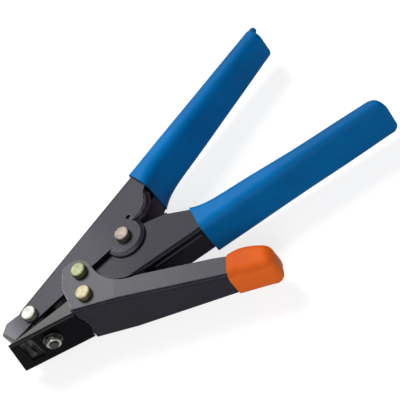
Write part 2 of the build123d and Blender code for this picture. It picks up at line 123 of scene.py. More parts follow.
# %% A socket that can be added and multiplied
class Value:
    """A node's socket that takes part in Python expressions."""

    def __init__(self, tree, socket):
        self.tree = tree
        self.socket = socket

    def math(self, operation, *others):
        node = self.tree.nodes.new("ShaderNodeMath")
        node.operation = operation
        for index, item in enumerate((self, *others)):
            plug(self.tree, node.inputs[index], item)
        return Value(self.tree, node.outputs[0])

    def __add__(self, other):
        return self.math("ADD", other)

    def __mul__(self, other):
        return self.math("MULTIPLY", other)

    def __sub__(self, other):
        return self.math("SUBTRACT", other)

    def __rsub__(self, other):
        return (self * -1).math("ADD", other)

    __radd__ = __add__
    __rmul__ = __mul__

    def step(self, low, high):
        """0 below low and 1 above high, smooth between them."""
        return add_node(self.tree, "ShaderNodeMapRange", {"interpolation_type": "SMOOTHSTEP"},
                        {"Value": self, "From Min": low, "From Max": high}, "Result")


def plug(tree, entry, item):
    """Puts a number, a colour or another socket into a node's input."""
    if isinstance(item, Value):
        tree.links.new(item.socket, entry)
    else:
        entry.default_value = item


def add_node(tree, kind, settings, inputs, output):
    """Adds any node: its type, its settings, the values or links of its sockets."""
    node = tree.nodes.new(kind)
    for key, value in settings.items():
        setattr(node, key, value)
    for key, value in inputs.items():
        plug(tree, node.inputs[key], value)
    return Value(tree, node.outputs[output])


def rgba(colour):
    """Red, green and blue from 0 to 255, as a picture has them, made linear for the shader."""
    parts = [part / 255 for part in colour]
    line = [part / 12.92 if part <= 0.04045 else ((part + 0.055) / 1.055) ** 2.4 for part in parts]
    return (*line, 1.0)


# %% One class for a finish
BEVEL_SAMPLES = 4
SOFT_EDGE = 0.0003


class Finish:
    """One material and the nodes that make it."""

    def __init__(self, name):
        self.material = bpy.data.materials.new(name)
        self.material.use_nodes = True
        self.tree = self.material.node_tree
        self.shader = self.tree.nodes["Principled BSDF"]
        self.place = self.node("ShaderNodeTexCoord", {}, {}, "Object")

    def node(self, kind, settings, inputs, output):
        """Adds a node to this finish."""
        return add_node(self.tree, kind, settings, inputs, output)

    def noise(self, size, detail=3.0, roughness=0.5):
        """Cloudy variation whose patches are about size metres wide."""
        return self.node("ShaderNodeTexNoise", {},
                         {"Vector": self.place, "Scale": 1 / size, "Detail": detail,
                          "Roughness": roughness}, "Fac")

    def mix(self, factor, first, second):
        """A blend of two colours."""
        node = self.tree.nodes.new("ShaderNodeMix")
        node.data_type = "RGBA"
        plug(self.tree, node.inputs["Factor"], factor)
        plug(self.tree, node.inputs[6], first)
        plug(self.tree, node.inputs[7], second)
        return Value(self.tree, node.outputs[2])

    def part(self, vector, axis):
        """The X, Y or Z of a vector."""
        return self.node("ShaderNodeSeparateXYZ", {}, {"Vector": vector}, axis)

    def along(self, axis):
        """The object's own X, Y or Z in metres."""
        return self.part(self.place, axis)

    def facing(self, axis):
        """How much the surface faces along an axis: 1 fully, 0 sideways and -1 away."""
        return self.part(self.node("ShaderNodeNewGeometry", {}, {}, "Normal"), axis)

    def lying(self):
        """1 where the surface lies flat, 0 where it stands upright."""
        return self.facing("Z").math("ABSOLUTE").step(0.25, 0.85)

    def rounded(self, radius):
        """The surface's normal as it would be if every edge were rounded."""
        return self.node("ShaderNodeBevel", {"samples": BEVEL_SAMPLES}, {"Radius": radius}, "Normal")

    def edges(self, width):
        """About 1 on sharp edges that face the nose, little on others and 0 on flat faces. These are the
        edges that get a painted highlight, and on the black paint also real wear.

        It compares a rounded normal with the real one."""
        soft = self.rounded(width)
        true = self.node("ShaderNodeNewGeometry", {}, {}, "True Normal")
        alike = self.node("ShaderNodeVectorMath", {"operation": "DOT_PRODUCT"}, {0: soft, 1: true}, "Value")
        lit_facing_nose = self.part(soft, "X") * -1
        return (1 - alike).step(0.01, 0.12) * (lit_facing_nose.step(0.05, 0.4) * 0.9 + 0.1)

    def bump(self, height, depth):
        """Dents whose full height is depth metres, on softly rounded edges."""
        normal = self.node("ShaderNodeBump", {},
                           {"Height": height, "Distance": depth, "Strength": 1.0,
                            "Normal": self.rounded(SOFT_EDGE)}, "Normal")
        self.set(Normal=normal)

    def set(self, **values):
        """Values or links of the shader's own sockets, spaces written as underscores."""
        for key, value in values.items():
            plug(self.tree, self.shader.inputs[key.replace("_", " ")], value)


def dress(material, *nodes):
    """Gives CAD nodes a finish of this script."""
    for name in nodes:
        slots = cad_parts[name].data.materials
        slots.clear()
        slots.append(material)
    print(material.name, "on", ", ".join(nodes))


# %% [markdown]
# ## Black painted steel
# The frame, the moving handle, the lever and the cutter arm are baked black enamel on pressed
# steel. Seen close it is not black: the flats catch the soft light as a plum grey and the film has a
# faint orange peel and grey specks. The folds carry a painted grey sheen, the edges that face the
# nose are rubbed bare and also carry a painted highlight, and the paint turns lighter grey towards
# the nose's tip. Beyond the main pivot the flats are duller, and between the cheeks they are
# painted a lighter plum grey as painted fill light in the shade there. The arm's copy of the paint
# is painted darker as shade, and the collar's is lighter with a painted highlight on the slopes
# that face the nose. A glossy black would look like plastic, so a middling roughness is broken up
# by two noises.

# %% Painted steel
NOSE_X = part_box("main_frame")[0].x
PIVOT = (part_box("pivot_rivet")[0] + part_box("pivot_rivet")[1]) / 2
NOSE_LENGTH = 0.014
BEFORE_PIVOT = 0.018
PAST_PIVOT = 0.002
WORN_AND_LIT_EDGE = 0.0006
INSIDE_FILL_EDGE = 0.0006
PEEL_DEPTH = 0.00003
COAT_ROUGHNESS = 0.34
PLUM_TINT = (0.84, 0.82, 1.0, 1.0)
GRIME_AND_SHEEN_GREY = (112, 110, 116)
WORN_AND_LIT_STEEL = (172, 169, 172)
INSIDE_FILL_PLUM = (124, 108, 130)
NOSE_SIDE_HIGHLIGHT_GREY = (120, 118, 124)


def painted_steel(name, deep, light, coat, edge_wear_and_light, nose=0.0, slopes=0.0, gloss=0.10, fade=0.0,
                  inner=0.0, nose_side_highlight=0.0):
    """Black enamel, cloudy between a deep and a light tone, with a painted grey sheen on its folds.

    coat and slopes are the gloss of flats and of upright sides, gloss that of the paint under it,
    edge_wear_and_light how bare the edges that face the nose are and how much painted highlight they
    carry, nose how much lighter grey the tip is, nose_side_highlight how much painted highlight the
    faces to the nose get and fade how much duller the flats are beyond the main pivot. There the flats
    between the cheeks, up to inner metres from the middle, are painted a lighter plum grey as painted
    fill light in their shade."""
    finish = Finish(name)
    cloud = finish.noise(0.018, 4.0, 0.6)
    peel = finish.noise(0.0009, 2.0)
    grime = finish.noise(0.006, 5.0, 0.7).step(0.5, 0.75)
    specks = finish.noise(0.00045, 2.0, 0.7).step(0.60, 0.72)
    flat = finish.lying()
    # painted sheen: the middle of each fold is painted a lighter grey where light runs over it
    painted_fold_sheen = flat * (1 - flat) * 4
    # worn and lit edges: the edges that face the nose are rubbed bare and also carry a painted highlight
    worn_and_lit_edges = finish.edges(WORN_AND_LIT_EDGE) * finish.noise(0.0022, 4.0).step(0.30, 0.5)
    # the paint turns lighter grey towards the nose's tip
    near_nose_tip = 1 - finish.along("X").step(NOSE_X, NOSE_X + NOSE_LENGTH)
    by_pivot = finish.along("X").step(PIVOT.x - BEFORE_PIVOT, PIVOT.x + PAST_PIVOT)
    height = (finish.along("Z") - PIVOT.z).math("ABSOLUTE")
    # painted fill light: flats between the cheeks beyond the pivot are painted a lighter plum grey in the
    # shade there
    inside_fill_light = flat * by_pivot * (1 - height.step(inner - INSIDE_FILL_EDGE, inner))
    # painted highlight: faces that turn to the nose are painted lighter grey
    lit_facing_nose = (finish.facing("X") * -1).step(-0.5, 0.6)

    paint = finish.mix(cloud.step(0.3, 0.7), rgba(deep), rgba(light))
    grimy_and_sheened = finish.mix(flat * (grime * 0.15 + specks * 0.30) + painted_fold_sheen * 0.22 + near_nose_tip * nose, paint,
                       rgba(GRIME_AND_SHEEN_GREY))
    worn_and_lit_paint = finish.mix(worn_and_lit_edges * edge_wear_and_light * (flat * 0.8 + 0.2), grimy_and_sheened, rgba(WORN_AND_LIT_STEEL))
    inside_filled = finish.mix(inside_fill_light * 0.9, worn_and_lit_paint, rgba(INSIDE_FILL_PLUM))
    colour = finish.mix(lit_facing_nose * nose_side_highlight, inside_filled, rgba(NOSE_SIDE_HIGHLIGHT_GREY))
    shine = flat * (coat * (1 - by_pivot * fade)) + (1 - flat) * slopes
    finish.set(Base_Color=colour, Roughness=0.38 + cloud * 0.08 + grime * 0.12,
               Coat_Weight=shine * (0.85 + cloud * 0.3), Coat_Roughness=COAT_ROUGHNESS,
               Metallic=worn_and_lit_edges * 0.5, Specular_IOR_Level=gloss, Specular_Tint=PLUM_TINT)
    finish.bump(peel * 0.6 + grime * 0.4, PEEL_DEPTH)
    return finish.material


dress(painted_steel("black_paint_frame", (16, 14, 24), (25, 23, 36), 0.15, edge_wear_and_light=0.6, nose=1.0,
                    fade=0.45, inner=0.0096), "main_frame", "hub_washers")
dress(painted_steel("black_paint_handle", (12, 10, 20), (20, 18, 30), 0.12, edge_wear_and_light=0.3, gloss=0.08,
                    fade=0.5), "moving_handle")
dress(painted_steel("black_paint_lever", (17, 15, 26), (27, 25, 38), 0.30, edge_wear_and_light=0.9), "cutting_lever")
# the arm's copy of the paint is painted darker, as painted shade
dress(painted_steel("black_paint_arm_shaded", (4, 3, 7), (8, 7, 13), 0.40, edge_wear_and_light=0.2, gloss=0.03), "cutter_arm")
# the collar's copy of the paint is lighter and carries a painted highlight on its nose-facing slopes
COLLAR_PAINT = painted_steel("black_paint_collar_lit", (24, 21, 32), (36, 33, 46), 0.2, edge_wear_and_light=0.0,
                             slopes=0.4, nose_side_highlight=0.45)
SHOULDER_PAINT = painted_steel("black_paint_shoulder", (18, 15, 22), (28, 24, 34), 0.1, edge_wear_and_light=0.0,
                               gloss=0.06)


# %% [markdown]
# ## Dipped vinyl
# The handles are dipped in blue vinyl and the lever carries an orange cap. Dipped vinyl is a deep,
# even colour with a satin skin. Its surface carries tiny pores and a slow waviness from draining, so
# one wide noise moves the colour, a fine and a slow one dent the skin, and faint scuffs dull the
# gloss. Flats and upright walls are painted a little lighter or darker than each other as painted
# light and shade, and the blue's flats are painted darker far from the pivot as painted shade.

# %% Vinyl in two colours
FAR_FROM = 0.035
FAR_TO = 0.100
SKIN_DEPTH = 0.00006


def vinyl(name, deep, bright, scuff, sides, far_flat_shade=None):
    """Dipped vinyl, cloudy between a deep and a bright tone, with marks of the colour scuff.

    sides is how bright its upright walls are painted against its flats, as painted light and shade,
    and far_flat_shade the darker tone painted on its flats far out as painted shade."""
    finish = Finish(name)
    cloud = finish.noise(0.022, 3.0, 0.55)
    pores = finish.noise(0.00055, 2.0, 0.6)
    waves = finish.noise(0.007, 2.0)
    scuffs = finish.noise(0.004, 6.0, 0.75).step(0.58, 0.78)
    flat = finish.lying()
    # painted light and shade: flats and upright walls are painted lighter or darker than each other
    tone_and_painted_shade = cloud.step(0.3, 0.7) * 0.5 + flat * (0.5 - sides) + (1 - flat) * sides
    colour = finish.mix(tone_and_painted_shade, rgba(deep), rgba(bright))
    # painted shade: flats far from the pivot are painted darker
    if far_flat_shade:
        far = finish.along("X").step(PIVOT.x + FAR_FROM, PIVOT.x + FAR_TO)
        colour = finish.mix(flat * far * 0.6, colour, rgba(far_flat_shade))
    marked = finish.mix(scuffs * 0.25, colour, rgba(scuff))
    finish.set(Base_Color=marked, Roughness=0.46 + cloud * 0.08 + scuffs * 0.12, Specular_IOR_Level=0.06)
    finish.bump(pores * 0.35 + waves, SKIN_DEPTH)
    return finish.material


BLUE = vinyl("blue_dipped_vinyl", (0, 97, 161), (0, 117, 188), (0, 124, 192), sides=0.0,
             far_flat_shade=(0, 82, 138))
ORANGE = vinyl("orange_moulded_vinyl", (210, 88, 22), (255, 118, 42), (240, 128, 62), sides=0.75)
dress(BLUE, "upper_grip", "lower_grip")
dress(ORANGE, "lever_grip")


# %% [markdown]
# ## Plated fasteners and bright steel
# The four rivets are zinc plated and each came out of a slightly different bath: the lever's is
# yellow-green, the arm's is cream and the pivots are paler. Their upright walls are painted dark as
# shade and their rims carry a painted highlight. The nut, washer and blade are plain bright steel;
# the nut's hexagon, the washer and the stud's end are painted darker as shade and the nut's ring
# lighter as a painted highlight. One formula makes them all: a metal with a small stain noise, pits
# and tool marks.

# %% Metals
PIT_SHADE = 0.55
RIM_WIDTH = 0.0007
RIM_HIGHLIGHT = (236, 236, 226)
MARK_DEPTH = 0.00004


def metal(name, tint, stain, roughness, metallic=0.15, shaded_wall=None):
    """A worn metal; shaded_wall is the dark colour painted on its upright sides as shade, which also brings
    a painted highlight on its rims.
    """
    finish = Finish(name)
    cloud = finish.noise(0.0024, 4.0, 0.6)
    fine = finish.noise(0.00035, 3.0, 0.7)
    pits = finish.noise(0.0008, 3.0, 0.6).step(0.62, 0.8)
    stained = finish.mix(cloud.step(0.35, 0.7), rgba(tint), rgba(stain))
    colour = finish.mix(pits * 0.4, stained, rgba([part * PIT_SHADE for part in stain]))
    if shaded_wall:
        # painted shade: upright walls are painted dark
        shaded_walls = finish.mix((1 - finish.lying()) * (0.65 + cloud * 0.3), colour, rgba(shaded_wall))
        # painted highlight on the rims that face the nose
        painted_rim_highlight = finish.edges(RIM_WIDTH) * cloud.step(0.3, 0.6) * 0.6
        colour = finish.mix(painted_rim_highlight, shaded_walls, rgba(RIM_HIGHLIGHT))
    finish.set(Base_Color=colour, Metallic=metallic, Roughness=roughness + fine * 0.12 + pits * 0.15,
               Specular_IOR_Level=0.3)
    finish.bump(fine - pits * 0.8, MARK_DEPTH)
    return finish.material


PALE = metal("pale_zinc", (162, 152, 138), (120, 110, 98), 0.42, shaded_wall=(38, 33, 30))
YELLOW = metal("yellow_zinc", (166, 172, 130), (128, 134, 88), 0.42, shaded_wall=(50, 48, 18))
CREAM = metal("cream_zinc", (190, 180, 146), (152, 142, 104), 0.42, shaded_wall=(58, 48, 22))
WHITE = metal("white_zinc", (210, 209, 202), (178, 176, 168), 0.40, shaded_wall=(70, 66, 60))
# painted light and shade on the nut: its ring is painted bright, its hexagon, washer and stud end dark
NUT_RING_LIT = metal("nut_ring_lit_steel", (206, 205, 198), (160, 160, 156), 0.26, 0.55)
NUT_SIDE_SHADED = metal("nut_side_shaded_steel", (92, 91, 90), (44, 44, 46), 0.28, 0.55)
STUD_END_SHADED = metal("stud_end_shaded_steel", (66, 70, 62), (34, 37, 33), 0.42, 0.2)
BRIGHT = metal("bright_steel", (150, 150, 148), (112, 112, 110), 0.36, 0.5)
POLISHED = metal("polished_steel", (132, 130, 128), (98, 96, 94), 0.34, 0.3)
SPRING = metal("spring_steel", (70, 68, 66), (44, 42, 40), 0.40, 0.4)
dress(NUT_SIDE_SHADED, "stud_washer")
dress(STUD_END_SHADED, "blade_stud")
dress(POLISHED, "nose_guide", "cutter_blade")
dress(BRIGHT, "pull_bar", "drive_pin", "grip_pawl", "grip_pawl_pin",
      "blade_spacers", "pivot_bush", "lever_bush", "blade_yoke")
dress(SPRING, "handle_spring", "grip_pawl_spring")


# %% [markdown]
# ## Rolled edges of the frame
# Where the frame's cheeks clear the moving handle, the press has rolled their edge over: around the
# main pivot it reads as a soft collar, and beside the blue grip as a dark round shoulder. The CAD
# cheek ends square there. Each roll is a quarter ellipse carried along a short path, with the flat
# tangent to the cheek, so that light runs over the edge instead of stopping at a line.

# %% Quarter-round strips along an edge
CHEEK_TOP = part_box("main_frame")[1].z - PIVOT.z
CHEEK_LOW = CHEEK_TOP - 0.0018
ROLL_WIDTH = 0.0026
ROLL_STEPS = 10
LOBE_RADIUS = 0.00724
LOBE_START = 38
LOBE_SWEEP = 210
LOBE_STEPS = 48
MOUTH_EDGE = [Vector(point) * MM for point in ((18.3, 13.0), (16.05, 7.75), (12.05, 4.95), (8.2, 4.35))]
MOUTH_STEPS = 8


def smooth_path(points, parts):
    """A curve through the points, each span cut into parts."""
    run = []
    ends = [points[0] * 2 - points[1], *points, points[-1] * 2 - points[-2]]
    for before, start, stop, after in zip(ends, ends[1:], ends[2:], ends[3:]):
        for step in range(parts):
            t = step / parts
            run.append(start + ((stop - before) * t + (before * 2 - start * 5 + stop * 4 - after) * t * t
                                + (start * 3 - before - stop * 3 + after) * t ** 3) / 2)
    return run + [points[-1]]


def roll_section():
    """The strip's cross section as (out, up): the quarter ellipse, then its flat foot."""
    turns = [k / ROLL_STEPS * math.pi / 2 for k in range(ROLL_STEPS + 1)]
    quarter = [(ROLL_WIDTH * math.sin(turn), CHEEK_LOW + (CHEEK_TOP - CHEEK_LOW) * math.cos(turn))
               for turn in turns]
    return quarter + [(0.0, CHEEK_LOW)]


def rolled_strip(mesh, path, side):
    """Adds a strip to mesh along the path, its outside on the left; side is 1 above and -1 below."""
    section = roll_section()
    rings = []
    for index, point in enumerate(path):
        run = (path[min(index + 1, len(path) - 1)] - path[max(index - 1, 0)]).normalized()
        out = Vector((-run.y, run.x))
        rings.append([mesh.verts.new((PIVOT.x + point.x + out.x * away, PIVOT.y + point.y + out.y * away,
                                      PIVOT.z + side * up)) for away, up in section])
    for near, far in zip(rings, rings[1:]):
        for k in range(len(section)):
            face = mesh.faces.new((near[k - 1], near[k], far[k], far[k - 1]))
            face.smooth = 0 < k <= ROLL_STEPS
    mesh.faces.new(rings[0])
    mesh.faces.new(rings[-1])


def rolled_edge(name, path, paint):
    """A roll along the path on both cheeks of the frame."""
    mesh = bmesh.new()
    for side in (1, -1):
        rolled_strip(mesh, path, side)
    bmesh.ops.recalc_face_normals(mesh, faces=mesh.faces[:])
    data = bpy.data.meshes.new(name)
    mesh.to_mesh(data)
    mesh.free()
    data.materials.append(paint)
    piece = bpy.data.objects.new(name, data)
    bpy.context.scene.collection.objects.link(piece)
    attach(piece, "frame")
    print(name, "has", len(data.polygons), "faces on cheeks", round(CHEEK_TOP / MM, 2), "mm from the middle")


TURNS = [math.radians(LOBE_START - LOBE_SWEEP * step / LOBE_STEPS) for step in range(LOBE_STEPS + 1)]
LOBE_EDGE = [Vector((math.cos(turn), math.sin(turn))) * LOBE_RADIUS for turn in TURNS]
rolled_edge("rolled_collar", LOBE_EDGE, COLLAR_PAINT)
rolled_edge("rolled_shoulder", smooth_path(MOUTH_EDGE, MOUTH_STEPS), SHOULDER_PAINT)


# %% [markdown]
# ## The ends of the lower grip and of the cap
# The handle's cheeks are cut round at their end and the dip follows them, so the grip's outer corner
# is a wide curve, much wider than the fillet of the CAD sleeve. The orange cap is cut off at a slant
# there, and it is as thick at its mouth as in its middle. Each is the CAD solid taken over and cut
# across its length near the end. A rule then moves its points by their distance from the end and
# their share of the width and height, and the wall goes with them. The cap is also pulled out over
# the two square corners of the lever's steel, which its CAD skin leaves open.

# %% The rules for the two ends
HANDLE_SLOPE = math.radians(-7.1)
LEVER_SLOPE = math.radians(-30.4)
CORNER = 0.0070
EDGE_CORNER = 0.0042
EDGE_SHARE = 0.6
CAP_LENGTH = 0.0206
CAP_SLANT = 0.0027
CAP_SLANT_FROM = 0.25
CAP_FLATTER = 0.0016
CAP_FLAT_POWER = 1.5
CAP_MOUTH = 0.0007


def drawn_in(reach, corner):
    """How far a quarter circle of radius corner has come in at a distance reach from the end."""
    left = 1 - min(max(reach, 0.0), corner) / corner
    return corner * (1 - math.sqrt(1 - left * left))


def round_corner(reach, share, height):
    """The grip's end: its outer edge comes in along a quarter circle, its two sides a little."""
    return (0.0, -drawn_in(reach, CORNER) * share, -drawn_in(reach, EDGE_CORNER) * EDGE_SHARE * height)


def slant_cap(reach, share, height):
    """The cap's end: shorter and flatter on its outer side, and thicker at its mouth."""
    way = 1 - min(max(reach / CAP_LENGTH, 0.0), 1.0)
    outer = share * share
    back = -CAP_SLANT * outer * max(way - CAP_SLANT_FROM, 0.0) / (1 - CAP_SLANT_FROM)
    bulge = math.sin(math.pi * way ** CAP_FLAT_POWER)
    side = outer * (CAP_MOUTH * (1 - way) ** 2 - CAP_FLATTER * bulge)
    return (back, side, 0.0)


# %% Take over a sleeve and move its points
WELD = 0.000001
CUT_TOLERANCE = 0.0000005
CUT_CROWDING = 1.6
MEASURED_SHARE = 1.2
SHARP_ANGLE = math.radians(35)
GRIP_CUTS = 14
CAP_CUTS = 20
CAP_DEPTH = CAP_LENGTH + 0.001
CORNER_HOLE = 0.0018
CORNER_SKIN = 0.0003
CORNER_REACH = 0.0050
CORNER_SWELL = 0.0008


def cover_corners(mesh, along, across):
    """Pulls the cap out over the two square corners at the web side of the lever's end."""
    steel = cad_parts["cutting_lever"]
    points = [steel.matrix_world @ vert.co for vert in steel.data.vertices]
    for side in (1, -1):
        corner = max(points, key=lambda co: co.dot(along - across) + side * co.z)
        outward = (along - across + Vector((0, 0, side))).normalized()
        for vert in mesh.verts:
            far = (vert.co - corner).length
            if far < CORNER_HOLE:
                vert.co = corner + outward * CORNER_SKIN
            elif far < CORNER_REACH:
                vert.co += outward * CORNER_SWELL * (1 - far / CORNER_REACH) ** 2
    bmesh.ops.remove_doubles(mesh, verts=mesh.verts[:], dist=WELD)
    for vert in mesh.verts:
        vert.co.y = max(vert.co.y, CAD_BOX[0].y)


def reshaped(name, node, body, finish, slope, depth, cuts, rule, mend=None):
    """Replaces a CAD sleeve by a finer copy whose points, down to depth from its end, follow the rule.

    mend is a function that works on the mesh once its points have moved."""
    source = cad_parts[node]
    along = Vector((math.cos(slope), math.sin(slope), 0))
    across = Vector((-along.y, along.x, 0))
    mesh = bmesh.new()
    mesh.from_mesh(source.data)
    mesh.transform(source.matrix_world)
    bmesh.ops.remove_doubles(mesh, verts=mesh.verts[:], dist=WELD)
    end = max(vert.co.dot(along) for vert in mesh.verts)
    for cut in range(1, cuts + 1):
        bmesh.ops.bisect_plane(mesh, geom=[*mesh.verts, *mesh.edges, *mesh.faces], dist=CUT_TOLERANCE,
                               plane_co=along * (end - depth * (cut / cuts) ** CUT_CROWDING),
                               plane_no=along)
    near = [vert.co for vert in mesh.verts if end - vert.co.dot(along) < depth * MEASURED_SHARE]
    inner, outer = (pick(co.dot(across) for co in near) for pick in (min, max))
    half = max(abs(co.z - PIVOT.z) for co in near)
    for vert in mesh.verts:
        reach = end - vert.co.dot(along)
        if reach > depth:
            continue
        share = min(max((vert.co.dot(across) - inner) / (outer - inner), 0.0), 1.0)
        back, side, narrow = rule(reach, share, abs(vert.co.z - PIVOT.z) / half)
        vert.co += along * back + across * side
        vert.co.z += narrow if vert.co.z > PIVOT.z else -narrow
    if mend:
        mend(mesh, along, across)
    bmesh.ops.recalc_face_normals(mesh, faces=mesh.faces[:])
    data = bpy.data.meshes.new(name)
    mesh.to_mesh(data)
    mesh.free()
    for face in data.polygons:
        face.use_smooth = True
    data.set_sharp_from_angle(angle=SHARP_ANGLE)
    data.materials.append(finish)
    piece = bpy.data.objects.new(name, data)
    bpy.context.scene.collection.objects.link(piece)
    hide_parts(node)
    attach(piece, body)
    print(name, "is", round((outer - inner) / MM, 1), "by", round(half * 2 / MM, 1), "mm at its end")


reshaped("rounded_lower_grip", "lower_grip", "handle", BLUE, HANDLE_SLOPE,
         depth=CORNER, cuts=GRIP_CUTS, rule=round_corner)
reshaped("slanted_lever_cap", "lever_grip", "lever", ORANGE, LEVER_SLOPE,
         depth=CAP_DEPTH, cuts=CAP_CUTS, rule=slant_cap, mend=cover_corners)


# %% [markdown]
# ## Riveted heads
# The CAD rivets are plain discs. A set rivet isn't: the tool that heads it leaves a rounded rim, a
# shallow dish, faint facets and a skin that is never quite flat. All four follow one rule, so one
# Geometry Nodes tree makes them. It bends a flat grid into a turned shape: one side of the grid goes
# around, the other climbs a superellipse from the seat to the middle of the head. Modelling each by
# hand would be slower and they would drift apart. The heads come out open underneath, so their
# seats are closed on the plain mesh.

# %% One tree that turns a grid into two heads and a shaft
HEAD_NUMBERS = ("Radius", "Rise", "Sharpness", "Sides", "Facets", "Dish", "Roughness", "Seed", "Seat",
                "Shaft")
AROUND_POINTS = 73
CLIMB_POINTS = 21
SHAFT_SIDES = 48
DISH_EDGE = 1.2
SKIN_SCALE = 900.0
SKIN_DETAIL = 3.0
SEAM = 0.000002
LOWER_HEAD_TURN = 1.9


def head_tree():
    """A node group: the numbers of a rivet and its middle in, the riveted piece out."""
    tree = bpy.data.node_groups.new("riveted_heads", "GeometryNodeTree")
    for name in HEAD_NUMBERS:
        tree.interface.new_socket(name, in_out="INPUT", socket_type="NodeSocketFloat")
    tree.interface.new_socket("Middle", in_out="INPUT", socket_type="NodeSocketVector")
    tree.interface.new_socket("Material", in_out="INPUT", socket_type="NodeSocketMaterial")
    tree.interface.new_socket("Geometry", in_out="OUTPUT", socket_type="NodeSocketGeometry")
    entry = tree.nodes.new("NodeGroupInput")
    given = {socket.name: Value(tree, socket) for socket in entry.outputs if socket.name}

    def add(kind, inputs, output="Geometry", **settings):
        return add_node(tree, kind, settings, inputs, output)

    sheet = add("GeometryNodeMeshGrid", {"Size X": 1.0, "Size Y": 1.0, "Vertices X": AROUND_POINTS,
                                         "Vertices Y": CLIMB_POINTS}, "Mesh")
    spot = add("GeometryNodeInputPosition", {}, "Position")
    around = add("ShaderNodeSeparateXYZ", {"Vector": spot}, "X") + 0.5
    climb = (add("ShaderNodeSeparateXYZ", {"Vector": spot}, "Y") + 0.5) * (math.pi / 2)
    turn = around * (2 * math.pi)

    # The superellipse: a flat top and a straight wall that meet in a round rim
    bend = given["Sharpness"].math("POWER", -1.0) * 2
    reach = climb.math("COSINE").math("MAXIMUM", 0.0).math("POWER", bend)
    height = climb.math("SINE").math("MAXIMUM", 0.0).math("POWER", bend)

    # Flats: how much nearer a polygon's side is than its corners
    sector = (around * given["Sides"]).math("FRACT") - 0.5
    half_turn = given["Sides"].math("POWER", -1.0) * math.pi
    flat = half_turn.math("COSINE") * (sector * half_turn * 2).math("COSINE").math("POWER", -1.0)
    across = reach * given["Radius"] * (1 - given["Facets"] + given["Facets"] * flat)
    east = across * turn.math("COSINE")
    north = across * turn.math("SINE")

    # The dish and the uneven skin, both gone at the rim
    inside = (1 - (reach * DISH_EDGE).math("POWER", 2.0)).math("MAXIMUM", 0.0)
    level = add("ShaderNodeCombineXYZ", {"X": east, "Y": north}, "Vector")
    skin = add("ShaderNodeTexNoise", {"Vector": level, "W": given["Seed"], "Scale": SKIN_SCALE,
                                      "Detail": SKIN_DETAIL}, "Fac", noise_dimensions="4D")
    up = height * given["Rise"] - inside * (given["Dish"] + skin * given["Roughness"])

    # Two heads back to back, the shaft between them, and all of it at its place
    place = add("ShaderNodeCombineXYZ", {"X": east, "Y": north, "Z": up + given["Seat"]}, "Vector")
    bent = add("GeometryNodeSetPosition", {"Geometry": sheet, "Position": place})
    head = add("GeometryNodeMergeByDistance", {"Geometry": bent, "Distance": SEAM})
    mirrored = add("GeometryNodeTransform", {"Geometry": head, "Scale": (1, 1, -1)})
    turned = add("GeometryNodeTransform", {"Geometry": mirrored, "Rotation": (0, 0, LOWER_HEAD_TURN)})
    other = add("GeometryNodeFlipFaces", {"Mesh": turned}, "Mesh")
    shaft = add("GeometryNodeMeshCylinder", {"Vertices": SHAFT_SIDES, "Radius": given["Shaft"],
                                             "Depth": given["Seat"] * 2}, "Mesh")
    join = tree.nodes.new("GeometryNodeJoinGeometry")
    for part in (head, other, shaft):
        tree.links.new(part.socket, join.inputs["Geometry"])
    whole = add("GeometryNodeTransform", {"Geometry": Value(tree, join.outputs[0]),
                                          "Translation": given["Middle"]})
    smooth = add("GeometryNodeSetShadeSmooth", {"Geometry": whole})
    real = add("GeometryNodeRealizeInstances", {"Geometry": smooth})
    dressed = add("GeometryNodeSetMaterial", {"Geometry": real, "Material": given["Material"]})
    leave = tree.nodes.new("NodeGroupOutput")
    tree.links.new(dressed.socket, leave.inputs["Geometry"])
    return tree


# %% From the tree to a plain closed mesh
def close_seats(shape):
    """Closes the open undersides of the heads with flat faces and keeps their rims sharp."""
    mesh = bmesh.new()
    mesh.from_mesh(shape)
    rims = [edge for edge in mesh.edges if edge.is_boundary]
    for edge in rims:
        edge.smooth = False
    for face in bmesh.ops.holes_fill(mesh, edges=rims, sides=0)["faces"]:
        face.smooth = False
    bmesh.ops.recalc_face_normals(mesh, faces=mesh.faces[:])
    mesh.to_mesh(shape)
    mesh.free()


def grown(name, tree, **values):
    """The plain mesh object that a Geometry Nodes tree makes from the given inputs."""
    seed = bpy.data.objects.new(name + "_seed", bpy.data.meshes.new(name + "_seed"))
    bpy.context.scene.collection.objects.link(seed)
    modifier = seed.modifiers.new("grow", "NODES")
    modifier.node_group = tree
    for socket in tree.interface.items_tree:
        if socket.in_out == "INPUT" and socket.name in values:
            modifier[socket.identifier] = values[socket.name]
    seed.update_tag()
    shape = bpy.data.meshes.new_from_object(seed.evaluated_get(bpy.context.evaluated_depsgraph_get()))
    bpy.data.objects.remove(seed)
    close_seats(shape)
    shape.materials.clear()
    shape.materials.append(values["Material"])
    piece = bpy.data.objects.new(name, shape)
    bpy.context.scene.collection.objects.link(piece)
    return piece


# %% The four rivets
HEAD_RISE = 0.0027
HEAD_TREE = head_tree()


def set_rivet(name, node, body, finish, shaft, seed, sides=9.0):
    """Replaces a CAD rivet by a headed one of the same height and width."""
    low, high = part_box(node)
    piece = grown(name, HEAD_TREE, Middle=tuple((low + high) / 2), Material=finish,
                  Radius=(high.x - low.x) / 2, Rise=HEAD_RISE, Sharpness=7.0, Sides=sides, Facets=0.35,
                  Dish=0.00008, Roughness=0.00010, Seed=float(seed), Shaft=shaft,
                  Seat=(high.z - low.z) / 2 - HEAD_RISE)
    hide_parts(node)
    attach(piece, body)
    print(name, "has", len(piece.data.polygons), "faces")


